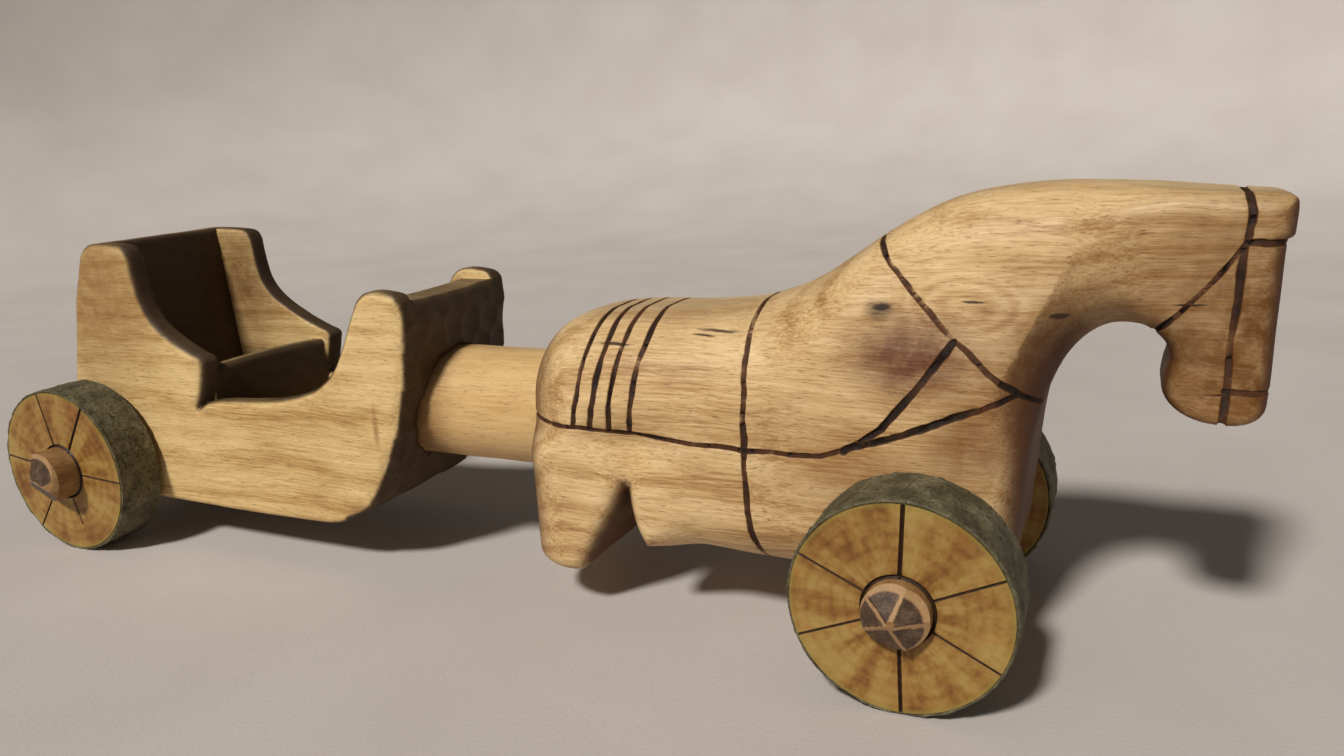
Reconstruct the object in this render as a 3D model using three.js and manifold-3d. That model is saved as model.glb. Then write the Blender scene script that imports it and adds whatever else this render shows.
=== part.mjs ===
// A carved wooden pull-along toy: a horse on two wheels draws an open carriage on two wheels,
// joined by a thick round drawbar. Each wheel is a slice of a branch, with its bark left on,
// and turns on a whittled peg.
// Millimetres, +Z up, +X towards the horse's nose, +Y to its left. The origin is on the ground,
// under the middle of the whole toy.
import * as THREE from 'three';
import { mergeVertices } from 'three/addons/utils/BufferGeometryUtils.js';
import Module from 'manifold-3d';

// Driving dimensions
const GAP = 0.3; // left between two pieces that touch
const AXLES = [
  { end: 'front', x: 114, radius: 25, innerY: 27.3, outerY: 45.3, headRadius: 7.5, headLength: 6.5 },
  { end: 'rear', x: -157.3, radius: 27, innerY: 27.5, outerY: 42, headRadius: 8.3, headLength: 9.4 },
];
const SIDES = [{ side: 'left', turn: 0 }, { side: 'right', turn: Math.PI }];
const BARK = 1.4; // thickness of the bark round a wheel
const RIM_EDGE = 0.8; // chamfer on the bark's edges
const PEG = { radius: 5, endY: 12, holeRadius: 5.3, boreRadius: 5.6 };

const HORSE = { tailX: 2, noseX: 184.3, crestZ: 111.6, backZ: 83, bellyZ: 19.5, hoofZ: 10.5 };
const BARREL = { halfWidth: 28.5, sideTop: 56, sideFoot: 24, endX: 86 };
const CHEST = { halfWidth: 25.5, neckHalfWidth: 18, headHalfWidth: 13 };

const CARRIAGE = { halfWidth: 25.8, innerHalfWidth: 19.5, topZ: 98.3, bottomZ: 14, dashTopZ: 86 };
const SEAT = { floorZ: 40, riserTopZ: 61, riserThickness: 5, frontX: -102.5, skew: 5 };
const FOOTWELL = { floorZ: 34 };
const DRAWBAR = { radius: 16.85, z: 49.4, rearX: -39.5, frontX: 12 };

const OILED = { roughness: 0.5, metalness: 0 };
const COLOURS = {
  horse: 0xb98746,
  carriage: 0xb58a4a,
  bar: 0xc79a55,
  slice: 0x9b7b3c,
  bark: 0x3f3d2a,
  peg: 0x6b4526,
};

// Solids: closed three.js geometry goes into the boolean library and back
const wasm = await Module();
wasm.setup();

function solid(geometry) {
  const bare = geometry.clone();
  bare.deleteAttribute('normal');
  bare.deleteAttribute('uv');
  const merged = mergeVertices(bare, 1e-4);
  return new wasm.Manifold(new wasm.Mesh({
    numProp: 3,
    vertProperties: new Float32Array(merged.attributes.position.array),
    triVerts: new Uint32Array(merged.index.array),
  }));
}

function geometryOf(manifold) {
  const { vertProperties, triVerts } = manifold.getMesh();
  const geometry = new THREE.BufferGeometry();
  geometry.setAttribute('position', new THREE.BufferAttribute(vertProperties, 3));
  geometry.setIndex(new THREE.BufferAttribute(triVerts, 1));
  geometry.computeVertexNormals();
  return geometry;
}

// An outline is a list of steps: [x, y] is a corner, and a list of corners in an inner array is
// one smooth curve that starts at the step before it
function outline(steps) {
  const shape = new THREE.Shape();
  shape.moveTo(...steps[0]);
  for (const step of steps.slice(1)) {
    if (Array.isArray(step[0])) shape.splineThru(step.map(([x, y]) => new THREE.Vector2(x, y)));
    else shape.lineTo(...step);
  }
  return shape;
}

function extrude(shape, depth) {
  return new THREE.ExtrudeGeometry(shape, { depth, bevelEnabled: false, curveSegments: 2 });
}

// An outline seen from the side (x, z), carried from y0 to y1
function fromSide(steps, y0, y1) {
  const geometry = extrude(outline(steps), y1 - y0);
  geometry.rotateX(Math.PI / 2);
  geometry.translate(0, y1, 0);
  return solid(geometry);
}

// An outline seen from the front (y, z), carried from x0 to x1
function fromFront(steps, x0, x1) {
  const geometry = extrude(outline(steps), x1 - x0);
  geometry.rotateX(Math.PI / 2);
  geometry.rotateZ(Math.PI / 2);
  geometry.translate(x0, 0, 0);
  return solid(geometry);
}

// An outline seen from above (x, y), carried from z0 to z1
function fromAbove(steps, z0, z1) {
  const geometry = extrude(outline(steps), z1 - z0);
  geometry.translate(0, 0, z0);
  return solid(geometry);
}

// A round hole or rod along X, or along Y
function rodAlongX(radius, z, x0, x1, sides = 40) {
  const geometry = new THREE.CylinderGeometry(radius, radius, x1 - x0, sides);
  geometry.rotateZ(Math.PI / 2);
  geometry.translate((x0 + x1) / 2, 0, z);
  return solid(geometry);
}

function holesForPegs(axle) {
  const depth = axle.innerY - PEG.endY + GAP;
  return [-1, 1].map((sign) => {
    const geometry = new THREE.CylinderGeometry(PEG.holeRadius, PEG.holeRadius, depth, 24);
    geometry.translate(axle.x, sign * (axle.innerY - depth / 2), axle.radius);
    return solid(geometry);
  });
}

// The horse: one carved block, round in the barrel and flatter from the chest to the nose
function horseBody() {
  const profile = [
    [HORSE.tailX + 2, 16],
    [HORSE.tailX, 52],
    [[3.5, 65], [9, 73], [21, 79.5], [37, 81.2], [65, HORSE.backZ], [84, 89], [104, 101.8],
      [118, 108.7], [137, HORSE.crestZ], [176, 109.5], [183.4, 109]],
    [HORSE.noseX, 106],
    [183.4, 68],
    [[182, 62], [177, 60], [169, 61], [164, 65], [163, 73], [159, 80], [151.5, 81.3], [143, 75],
      [137.5, 60], [136, 46], [135, 26], [129, HORSE.bellyZ]],
    [46, HORSE.bellyZ],
    [40, 38],
    [26, 11],
    [14, HORSE.hoofZ],
  ];
  const body = fromSide(profile, -BARREL.halfWidth, BARREL.halfWidth);

  const w = BARREL.halfWidth;
  const foot = w - 6;
  const barrelSection = [
    [-foot, HORSE.hoofZ - 1],
    [foot, HORSE.hoofZ - 1],
    [w, BARREL.sideFoot],
    [w, BARREL.sideTop],
    [[w - 3, 69], [w - 10, 78.5], [w - 19, 83], [0, 85], [19 - w, 83], [10 - w, 78.5], [3 - w, 69],
      [-w, BARREL.sideTop]],
    [-w, BARREL.sideFoot],
  ];
  const barrel = fromFront(barrelSection, 0, BARREL.endX);

  const c = CHEST.halfWidth;
  const n = CHEST.neckHalfWidth;
  const chestSection = [
    [-c + 7, HORSE.bellyZ - 1],
    [c - 7, HORSE.bellyZ - 1],
    [c, 28],
    [c, 68],
    [[n + 3, 84], [n - 1, 100], [n - 6, 108], [0, HORSE.crestZ + 1], [6 - n, 108], [1 - n, 100],
      [-n - 3, 84], [-c, 68]],
    [-c, 28],
  ];
  const h = CHEST.headHalfWidth;
  const plan = [
    [60, -c],
    [124, -c],
    [[131, -c + 3], [136, -n], [143, -h - 1.5], [152, -h], [180, -h]],
    [HORSE.noseX + 1, -h + 4],
    [HORSE.noseX + 1, h - 4],
    [180, h],
    [[152, h], [143, h + 1.5], [136, n], [131, c - 3], [124, c]],
    [60, c],
  ];
  const forehand = fromFront(chestSection, 60, 190).intersect(fromAbove(plan, 0, 120));

  const socket = rodAlongX(DRAWBAR.radius + GAP, DRAWBAR.z, HORSE.tailX - 4, DRAWBAR.frontX + GAP);
  return [socket, ...holesForPegs(AXLES[0])].reduce(
    (left, cut) => left.subtract(cut),
    body.intersect(barrel.add(forehand)),
  );
}

// The carriage: one carved block with a backrest, two cheeks, a seat board and a dashboard
function carriageBody() {
  const w = CARRIAGE.halfWidth;
  const inner = CARRIAGE.innerHalfWidth;
  const shell = [
    [-155, CARRIAGE.bottomZ],
    [-60, CARRIAGE.bottomZ],
    [[-52, 17], [-45, 21.8], [-38.8, 31.2], [-33.8, 40.8], [-28.1, 58.9], [-25.9, 73.3], [-26.2, 83.4]],
    [-29.2, 85.4],
    [-36, CARRIAGE.dashTopZ],
    [-40.4, 85.2],
    [-42.8, 83.3],
    [[-49.2, 70.7], [-54.2, 62.5], [-60.7, 57.3], [-69, 54], [-79.3, 51.7], [-91.8, 50.8]],
    [-110.4, 47.6],
    [-136.5, 47.6],
    [-141.5, CARRIAGE.topZ],
    [-149, CARRIAGE.topZ - 0.4],
    [-153.8, 95],
    [-159.7, 80.3],
    [-167.5, 51.1],
    [-171.5, 30],
    [-170, 20],
    [-163, 15],
  ];
  // the left cheek reaches further forward than the right one, as the seat was cut on the skew
  const cheek = (lean) => [
    [-150, SEAT.floorZ],
    [-110, SEAT.floorZ],
    [-107 + lean, 49.3],
    [-104.5 + 2 * lean, 62.4],
    [[-110 + 1.8 * lean, 65], [-117.7 + 1.4 * lean, 69], [-125.3 + 1.2 * lean, 74.4],
      [-129 + lean, 81.3], [-130.6 + lean, 89], [-131.3 + lean, 96.5]],
    [-134.5 + lean, CARRIAGE.topZ],
    [-150, CARRIAGE.topZ - 0.5],
  ];
  const board = SEAT.riserThickness;
  const riser = [
    [SEAT.frontX - board - SEAT.skew, -inner],
    [SEAT.frontX - SEAT.skew, -inner],
    [SEAT.frontX + SEAT.skew, inner],
    [SEAT.frontX - board + SEAT.skew, inner],
  ];
  // cut between the cheeks, from the backrest's face to the back of the dashboard
  const hollow = [
    [-136.5, SEAT.floorZ],
    [-110, SEAT.floorZ],
    [-110, FOOTWELL.floorZ],
    [-60, FOOTWELL.floorZ],
    [[-53, 40], [-47, 54], [-42, 68], [-38.5, 82]],
    [-38.4, CARRIAGE.dashTopZ + 1],
    [-138, CARRIAGE.dashTopZ + 1],
  ];
  const lowerDash = [[-45, 83], [-20, 82.4], [-20, 88], [-45, 88]];
  const socket = rodAlongX(DRAWBAR.radius + GAP, DRAWBAR.z, DRAWBAR.rearX - GAP, -20);
  const cuts = [
    fromSide(hollow, -inner, inner),
    fromSide(lowerDash, -inner, inner),
    socket,
    ...holesForPegs(AXLES[1]),
  ];
  const block = fromSide(shell, -w, w)
    .add(fromSide(cheek(0), -w, -inner))
    .add(fromSide(cheek(5), inner, w));
  return cuts
    .reduce((left, cut) => left.subtract(cut), block)
    .add(fromAbove(riser, FOOTWELL.floorZ - 1, SEAT.riserTopZ));
}

function drawbar() {
  return rodAlongX(DRAWBAR.radius, DRAWBAR.z, DRAWBAR.rearX, DRAWBAR.frontX);
}

// Wheels and pegs are turned about Y, with their outer face towards +Y
function turned(points, segments) {
  return new THREE.LatheGeometry(points.map(([r, y]) => new THREE.Vector2(r, y)), segments);
}

function wheelDisc({ radius, innerY, outerY }) {
  const rim = radius - BARK - GAP;
  return turned([
    [PEG.boreRadius, innerY],
    [rim, innerY],
    [rim, outerY],
    [PEG.boreRadius, outerY],
    [PEG.boreRadius, innerY],
  ], 48);
}

function wheelBark({ radius, innerY, outerY }) {
  const inside = radius - BARK;
  return turned([
    [inside, innerY],
    [radius - RIM_EDGE, innerY],
    [radius, innerY + RIM_EDGE],
    [radius, outerY - RIM_EDGE],
    [radius - RIM_EDGE, outerY],
    [inside, outerY],
    [inside, innerY],
  ], 48);
}

function axlePeg({ outerY, headRadius, headLength }) {
  const seatY = outerY + GAP;
  const tipY = seatY + headLength;
  const crown = headRadius * 0.62;
  return turned([
    [0, PEG.endY],
    [PEG.radius, PEG.endY],
    [PEG.radius, seatY],
    [headRadius, seatY],
    [headRadius, tipY - 4],
    [crown, tipY - 1],
    [0, tipY],
  ], 24);
}

function named(name, geometry, colour) {
  const material = new THREE.MeshStandardMaterial({ color: colour, ...OILED });
  const mesh = new THREE.Mesh(geometry, material);
  mesh.name = name;
  return mesh;
}

function wheel(axle, { side, turn }) {
  const group = new THREE.Group();
  const name = `${axle.end}_${side}`;
  group.add(
    named(`${name}_wheel_disc`, wheelDisc(axle), COLOURS.slice),
    named(`${name}_wheel_bark`, wheelBark(axle), COLOURS.bark),
    named(`${name}_axle_peg`, axlePeg(axle), COLOURS.peg),
  );
  group.position.set(axle.x, 0, axle.radius);
  group.rotation.z = turn;
  return group;
}

const group = new THREE.Group();
group.add(
  named('horse_body', geometryOf(horseBody()), COLOURS.horse),
  named('drawbar', geometryOf(drawbar()), COLOURS.bar),
  named('carriage_body', geometryOf(carriageBody()), COLOURS.carriage),
);
for (const axle of AXLES) {
  for (const side of SIDES) group.add(wheel(axle, side));
}

export default group;
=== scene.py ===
"""A carved wooden horse drawing a small carriage, on branch-slice wheels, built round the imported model.

The two carved blocks are worked out as distance fields: a side outline with a half width and an
edge round, less its hollows and its cut lines. Wheels, bark and pegs are Geometry Nodes trees.
Sculpting is in millimetres, and every finished mesh is in metres.
"""

import math

import bpy
import numpy as np
from mathutils import Matrix, Vector


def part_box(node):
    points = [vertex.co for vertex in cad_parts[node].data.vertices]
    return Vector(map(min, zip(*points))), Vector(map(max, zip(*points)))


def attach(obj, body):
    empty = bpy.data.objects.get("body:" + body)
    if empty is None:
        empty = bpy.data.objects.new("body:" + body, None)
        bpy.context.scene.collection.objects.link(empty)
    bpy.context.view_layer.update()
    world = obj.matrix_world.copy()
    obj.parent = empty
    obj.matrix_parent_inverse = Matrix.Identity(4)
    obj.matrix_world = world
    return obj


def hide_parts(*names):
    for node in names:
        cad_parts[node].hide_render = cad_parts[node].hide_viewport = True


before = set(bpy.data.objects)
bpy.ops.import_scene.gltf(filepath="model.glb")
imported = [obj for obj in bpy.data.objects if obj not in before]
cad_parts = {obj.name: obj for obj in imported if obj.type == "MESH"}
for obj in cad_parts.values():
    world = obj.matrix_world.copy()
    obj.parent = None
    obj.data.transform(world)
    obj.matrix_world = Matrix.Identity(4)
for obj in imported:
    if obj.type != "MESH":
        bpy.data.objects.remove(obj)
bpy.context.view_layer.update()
MM = 0.001


# ---------------------------------------------------------------- places taken from the frame


def corners_mm(node):
    low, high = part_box(node)
    return np.array(low) / MM, np.array(high) / MM


HORSE_LOW, HORSE_HIGH = corners_mm("horse_body")
CARRIAGE_LOW, CARRIAGE_HIGH = corners_mm("carriage_body")
BAR_LOW, BAR_HIGH = corners_mm("drawbar")
BAR_RADIUS = (BAR_HIGH[2] - BAR_LOW[2]) / 2
BAR_Z = (BAR_HIGH[2] + BAR_LOW[2]) / 2
PEG_HOLE = 5.15  # radius of the holes that the pegs are driven into
PEG_HOLE_END = 11.5  # how near a hole comes to the middle of its block
SOCKET_GAP = 0.1  # between the bar's tenon and its socket


def axle_of(node):
    """(x, z) of a wheel's axle, in mm."""
    low, high = corners_mm(node)
    return (low[0] + high[0]) / 2, (low[2] + high[2]) / 2


# ---------------------------------------------------------------- numbers and outlines


def blend(a, b, share):
    """a where share is 0, and b where it is 1."""
    return a + (b - a) * share


def rise(start, end, value):
    """0 before start, 1 after end, and smooth between."""
    t = np.clip((value - start) / (end - start), 0, 1)
    return t * t * (3 - 2 * t)


def wobble(x, y, z, length, seed):
    """Smooth uneven field between about -1 and 1, with waves about that long."""
    rng = np.random.default_rng(seed)
    total = 0
    for _ in range(5):
        way = rng.normal(size=3)
        way *= 2 * math.pi / length / np.linalg.norm(way) * rng.uniform(0.7, 1.5)
        total = total + np.sin(way[0] * x + way[1] * y + way[2] * z + rng.uniform(0, 6.3))
    return total / 3


def traced(steps, spacing=0.8):
    """A closed outline from steps: a tuple is a corner, and a list of points is one smooth run
    that starts from the step before it."""
    path = [np.array(steps[0], float)]
    for step in steps[1:]:
        if isinstance(step, tuple):
            path.append(np.array(step, float))
            continue
        run = np.array([path[-1], *step], float)
        ends = np.vstack([2 * run[0] - run[1], run, 2 * run[-1] - run[-2]])
        for a, b, c, d in zip(ends, ends[1:], ends[2:], ends[3:]):
            pieces = max(2, math.ceil(np.linalg.norm(c - b) / spacing))
            pull, turn = 2 * a - 5 * b + 4 * c - d, 3 * (b - c) + d - a
            for t in np.arange(1, pieces + 1) / pieces:
                path.append((2 * b + (c - a) * t + pull * t**2 + turn * t**3) / 2)
    return np.array(path)


def to_path(path, x, z):
    """Distance from each point to an open path in the side view, and the nearest point's x and z."""
    best = np.full(x.shape, 1e9)
    near_x, near_z = np.zeros(x.shape), np.zeros(x.shape)
    for (ax, az), (bx, bz) in zip(path, path[1:]):
        ex, ez = bx - ax, bz - az
        along = np.clip(((x - ax) * ex + (z - az) * ez) / (ex * ex + ez * ez), 0, 1)
        px, pz = ax + along * ex, az + along * ez
        gap = (x - px) ** 2 + (z - pz) ** 2
        closer = gap < best
        best = np.where(closer, gap, best)
        near_x, near_z = np.where(closer, px, near_x), np.where(closer, pz, near_z)
    return np.sqrt(best), near_x, near_z


class SideView:
    """Signed distance in mm to a closed outline in the side view, negative inside."""

    def __init__(self, outline, margin=9, step=0.5):
        self.low = outline.min(0) - margin
        self.step = step
        high = outline.max(0) + margin
        axes = [np.arange(a, b, step) for a, b in zip(self.low, high)]
        x, z = np.meshgrid(*axes, indexing="ij")
        closed = np.vstack([outline, outline[:1]])
        far = to_path(closed, x, z)[0]
        inside = np.zeros(x.shape, bool)
        for (ax, az), (bx, bz) in zip(closed, closed[1:]):
            if az != bz:
                inside ^= ((az > z) != (bz > z)) & (x < (bx - ax) * (z - az) / (bz - az) + ax)
        self.values = np.where(inside, -far, far)

    def __call__(self, x, z):
        u = np.clip((x - self.low[0]) / self.step, 0, self.values.shape[0] - 1.001)
        v = np.clip((z - self.low[1]) / self.step, 0, self.values.shape[1] - 1.001)
        i, j = u.astype(int), v.astype(int)
        u, v = u - i, v - j
        grid = self.values
        low = blend(grid[i, j], grid[i + 1, j], u)
        high = blend(grid[i, j + 1], grid[i + 1, j + 1], u)
        return blend(low, high, v)


def rounded_slab(distance, y, half_width, edge):
    """Field of a flat outline given a thickness, with its long edges rounded over."""
    across = distance + edge
    out = np.abs(y) - (half_width - edge)
    inner = np.minimum(np.maximum(across, out), 0)
    return inner + np.hypot(np.maximum(across, 0), np.maximum(out, 0)) - edge


def rod(u, v, radius, along, start, end):
    """Field of a round rod or hole: u and v are measured from its axis."""
    return np.maximum(np.hypot(u, v) - radius, np.maximum(start - along, along - end))


def soft_cut(body, tool, soft):
    """body less tool, with the edges between them eased by about soft mm."""
    share = np.clip(0.5 - 0.5 * (tool + body) / soft, 0, 1)
    return blend(body, -tool, share) + soft * share * (1 - share)


def soft_join(a, b, soft):
    """Both bodies as one, with the corner between them filled by about soft mm."""
    share = np.clip(0.5 + 0.5 * (b - a) / soft, 0, 1)
    return blend(b, a, share) - soft * share * (1 - share)


def drilled(body, x, y, z, axle, socket_start, socket_end):
    """body less its two peg holes and the socket that takes the bar's end."""
    socket = rod(y, z - BAR_Z, BAR_RADIUS + SOCKET_GAP, x, socket_start, socket_end)
    holes = rod(x - axle[0], z - axle[1], PEG_HOLE, np.abs(y), PEG_HOLE_END, 60)
    return np.maximum(body, -np.minimum(socket, holes))


# ---------------------------------------------------------------- from a field to a mesh


def surface_net(field, low, high, pitch):
    """Points and four-sided faces on the zero surface of a field."""
    axes = [np.arange(a, b + pitch, pitch) for a, b in zip(low, high)]
    grid = np.meshgrid(*axes, indexing="ij")
    value = field(*[g.ravel() for g in grid]).reshape(grid[0].shape)
    inside = value < 0
    cells = np.array(value.shape) - 1
    total = np.zeros((*cells, 3))
    count = np.zeros(cells)
    quads = []
    for axis in range(3):
        u, w = (axis + 1) % 3, (axis + 2) % 3
        first = [slice(None)] * 3
        last = [slice(None)] * 3
        first[axis], last[axis] = slice(0, -1), slice(1, None)
        a, b = value[tuple(first)], value[tuple(last)]
        cross = inside[tuple(first)] != inside[tuple(last)]
        share = np.where(cross, a / np.where(cross, a - b, 1), 0)
        place = np.moveaxis(np.indices(cross.shape), 0, -1).astype(float)
        place[..., axis] += share
        place *= cross[..., None]
        for du in (0, 1):
            for dw in (0, 1):
                part = [slice(None)] * 3
                part[u] = slice(du, du + cells[u])
                part[w] = slice(dw, dw + cells[w])
                total += place[tuple(part)]
                count += cross[tuple(part)]
        at = np.argwhere(cross)
        at = at[(at[:, u] > 0) & (at[:, w] > 0) & (at[:, u] < cells[u]) & (at[:, w] < cells[w])]
        step_u, step_w = np.eye(3, dtype=int)[u], np.eye(3, dtype=int)[w]
        ring = np.stack([at - step_u - step_w, at - step_w, at, at - step_u], 1)
        back = ~inside[tuple(at.T)]
        ring[back] = ring[back][:, ::-1]
        quads.append(ring)
    used = count > 0
    number = np.full(cells, -1)
    number[used] = np.arange(used.sum())
    points = total[used] / count[used][:, None] * pitch + np.array(low)
    quads = np.concatenate(quads)
    return points, number[quads[..., 0], quads[..., 1], quads[..., 2]]


def slope(points, field, reach=0.04):
    """How fast a field rises along X, Y and Z at each point."""
    steps = [field(*(points + way).T) - field(*(points - way).T) for way in np.eye(3) * reach]
    return np.stack(steps, 1) / (2 * reach)


def settle(points, field, rounds=3, most=0.6):
    """Moves points onto the zero surface of a field."""
    for _ in range(rounds):
        steep = slope(points, field)
        move = (field(*points.T) / np.maximum((steep**2).sum(1), 0.1))[:, None] * steep
        size = np.linalg.norm(move, axis=1, keepdims=True)
        points = points - move * np.minimum(1, most / np.maximum(size, 1e-9))
    return points


def split_edges(points, triangles, wanted):
    """Halves the edges that wanted(middles, lengths) picks, and makes whole triangles again."""
    ends = np.sort(np.stack([triangles, np.roll(triangles, -1, 1)], 2), 2)
    keys, where = np.unique(ends[..., 0] * len(points) + ends[..., 1], return_inverse=True)
    edges = np.stack([keys // len(points), keys % len(points)], 1)
    middles = points[edges].mean(1)
    lengths = np.linalg.norm(points[edges[:, 0]] - points[edges[:, 1]], axis=1)
    chosen = wanted(middles, lengths)
    number = np.full(len(edges), -1)
    number[chosen] = len(points) + np.arange(chosen.sum())
    points = np.vstack([points, middles[chosen]])
    middle = number[where.reshape(-1, 3)]
    count = (middle >= 0).sum(1)
    made = [triangles[count == 0]]
    for turn in range(3):
        a, b, c = np.roll(triangles, -turn, 1).T
        ab, bc, ca = np.roll(middle, -turn, 1).T
        one = (count == 1) & (ab >= 0)
        made += [np.stack(t, 1) for t in ((a[one], ab[one], c[one]), (ab[one], b[one], c[one]))]
        two = (count == 2) & (ca < 0)
        a2, b2, c2, ab2, bc2 = a[two], b[two], c[two], ab[two], bc[two]
        made += [np.stack(t, 1) for t in ((ab2, b2, bc2), (a2, ab2, bc2), (a2, bc2, c2))]
    full = count == 3
    (a, b, c), (ab, bc, ca) = triangles[full].T, middle[full].T
    made += [np.stack(t, 1) for t in ((a, ab, ca), (ab, b, bc), (ca, bc, c), (ab, bc, ca))]
    return points, np.concatenate(made)


class CutLine:
    """A V cut along a path in the side view, that goes right round the block."""

    def __init__(self, path, width, depth, seed):
        self.path = np.array(path, float)
        self.half, self.depth, self.seed = width / 2, depth, seed

    def uneven(self, x, z, length, turn=0):
        return wobble(x, 0 * x, z, length, self.seed + turn)

    def half_width(self, x, z):
        return self.half * (1 + 0.22 * self.uneven(x, z, 9) + 0.1 * self.uneven(x, z, 3, 1))

    def near(self, x, z):
        """Distance to the cut's centre line, and the nearest point of it."""
        shift = 0.22 * self.uneven(x, z, 13, 2)
        return to_path(self.path, x + shift, z + shift)

    def share(self, x, z):
        """1 on the cut's centre line, 0 at its edges and beyond."""
        return np.maximum(0, 1 - self.near(x, z)[0] / self.half_width(x, z))


def deepest(cuts, x, z):
    """How deep the cuts go at each point."""
    depth = np.zeros(x.shape)
    for cut in cuts:
        depth = np.maximum(depth, cut.depth * cut.share(x, z))
    return depth


def snap_to_cuts(points, cuts, reach):
    """Slides points that lie close to a cut's edge or centre onto it, so that it reads crisply."""
    for cut in cuts:
        x, z = points[:, 0], points[:, 2]
        gap, near_x, near_z = cut.near(x, z)
        way = np.stack([x - near_x, z - near_z], 1) / np.maximum(gap, 1e-6)[:, None]
        half = cut.half_width(x, z)
        edge = np.abs(gap - half) < reach
        centre = (gap < reach * 0.8) & ~edge
        move = np.where(edge, half - gap, np.where(centre, -gap, 0))[:, None] * way
        move = np.where(gap[:, None] < 1e-4, 0, move)
        points = points + np.stack([move[:, 0], 0 * move[:, 0], move[:, 1]], 1)
    return points


def sculpt(name, plain, low, high, pitch, cuts=(), fine=0.4, bend=0.03, crisp=None, dark_top=0.0):
    """A closed mesh of a field, finer where the surface bends and along its cut lines."""

    def carved(x, y, z):
        return plain(x, y, z) + deepest(cuts, x, z)

    points, quads = surface_net(plain, low, high, pitch)
    points = settle(points, plain, 4, pitch / 3)
    triangles = np.concatenate([quads[:, [0, 1, 2]], quads[:, [0, 2, 3]]])

    def wanted(middles, lengths):
        steep = np.linalg.norm(slope(middles, plain), axis=1)
        long_bend = (np.abs(plain(*middles.T)) > bend * np.maximum(steep, 0.1)) & (lengths > 0.7)
        for cut in cuts:
            x, z = middles[:, 0], middles[:, 2]
            close = cut.near(x, z)[0] < cut.half_width(x, z) + 0.35 * lengths
            long_bend |= close & (lengths > fine)
        if crisp is not None:
            long_bend |= crisp(*middles.T) & (lengths > fine)
        return long_bend

    for _ in range(3):
        points, triangles = split_edges(points, triangles, wanted)
        points = settle(points, plain, 2)
    facing = slope(points, plain)
    facing /= np.linalg.norm(facing, axis=1, keepdims=True)
    points = snap_to_cuts(points, cuts, fine * 0.3)
    points = settle(points, carved, 4)
    mesh = bpy.data.meshes.new(name)
    mesh.from_pydata((points * MM).tolist(), [], triangles.tolist())
    mesh.validate()
    # darker where a face looks along X, across the grain, and where dark_top is given also where it looks
    # up or down
    end_grain = np.abs(facing[:, 0]) + dark_top * np.abs(facing[:, 2])
    masks = {"end_grain": end_grain, "cut": deepest(cuts, points[:, 0], points[:, 2])}
    return finish_mesh(name, mesh, masks), points


def finish_mesh(name, mesh, masks=None, angle=38):
    """An object of the mesh, smooth up to the angle, with each mask stored on its points."""
    for key, values in (masks or {}).items():
        mesh.attributes.new(key, "FLOAT", "POINT").data.foreach_set("value", np.asarray(values, float))
    mesh.polygons.foreach_set("use_smooth", [True] * len(mesh.polygons))
    mesh.set_sharp_from_angle(angle=math.radians(angle))
    mesh.update()
    piece = bpy.data.objects.new(name, mesh)
    bpy.context.scene.collection.objects.link(piece)
    return piece


# ---------------------------------------------------------------- the horse

HORSE_OUTLINE = traced([
    (6.9, 17),
    (5.6, 40),
    [(5.4, 52), (6.3, 62), (10.2, 71), (16.2, 76.8), (25, 80), (37, 81.3), (51, 81.8), (65, 82.9),
     (75, 85.2), (84.5, 89.3), (93, 94.2), (103.6, 101.4), (111, 105.7), (118, 108.6), (127, 110.6),
     (138, 111.5), (150, 111.4), (166, 110.2), (181.5, 109.1)],
    [(183.9, 108.2), (184.3, 106)],
    (184.1, 101.2),
    (182.8, 99.4),
    (182.7, 84),
    [(182.5, 68.4), (181.4, 63.6), (177, 61.5), (170, 61.7), (165.2, 63.4), (162.4, 67), (162.5, 71.5),
     (163.2, 75), (162.4, 78), (160.2, 80.4)],
    [(157.4, 81.6), (152, 81.3), (147, 78.6), (142.8, 73.8), (139.6, 66.5), (137.6, 58), (136.4, 48),
     (135.4, 36), (134.2, 26), (130, 20.2), (123, 19)],
    (80, 19),
    (44.4, 21.4),
    [(42, 27), (40.7, 33), (40.2, 38.5)],
    [(36.5, 31), (31.3, 22), (27.2, 14.4)],
    [(25, 12.5), (20, 11.7), (12, 11.7), (8, 13)],
])  # fmt: skip
horse_side = SideView(HORSE_OUTLINE)
RUMP_HALF, NECK_HALF = 28.6, 18.3
LEG_BACK, LEG_CORNER = 6, 18


def horse_half_width(x, z):
    """Half the block's width: wide in the trunk, slim in the neck and slimmer in the head."""
    trunk = RUMP_HALF - 1.4 * rise(30, 70, x) - 1.9 * rise(70, 90, x)
    from_rear = np.clip(LEG_CORNER - (x - LEG_BACK), 0, LEG_CORNER)
    corner = LEG_CORNER - np.sqrt(LEG_CORNER**2 - from_rear**2)
    trunk = trunk - corner * (1 - rise(37, 52, z))
    neck = NECK_HALF - 5.0 * rise(140, 160, x)
    high = rise(62, 97, z - 0.12 * (x - 100)) * rise(82, 112, x)
    ahead = rise(128, 146, x) * rise(48, 68, z)
    return blend(trunk, neck, np.maximum(high, ahead))


def horse_edge(x, z):
    """How far the long edges are rounded over."""
    barrel = blend(15, 24, rise(30, 52, z))
    leg = blend(5, barrel, rise(37, 52, z))
    trunk = blend(leg, barrel, rise(42, 60, x))
    fore = blend(9.5, 14, rise(52, 84, z))
    head = blend(fore, 5.0, rise(146, 164, x))
    return blend(trunk, head, rise(76, 104, x))


FRONT_AXLE = axle_of("front_right_wheel_bark")


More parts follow.
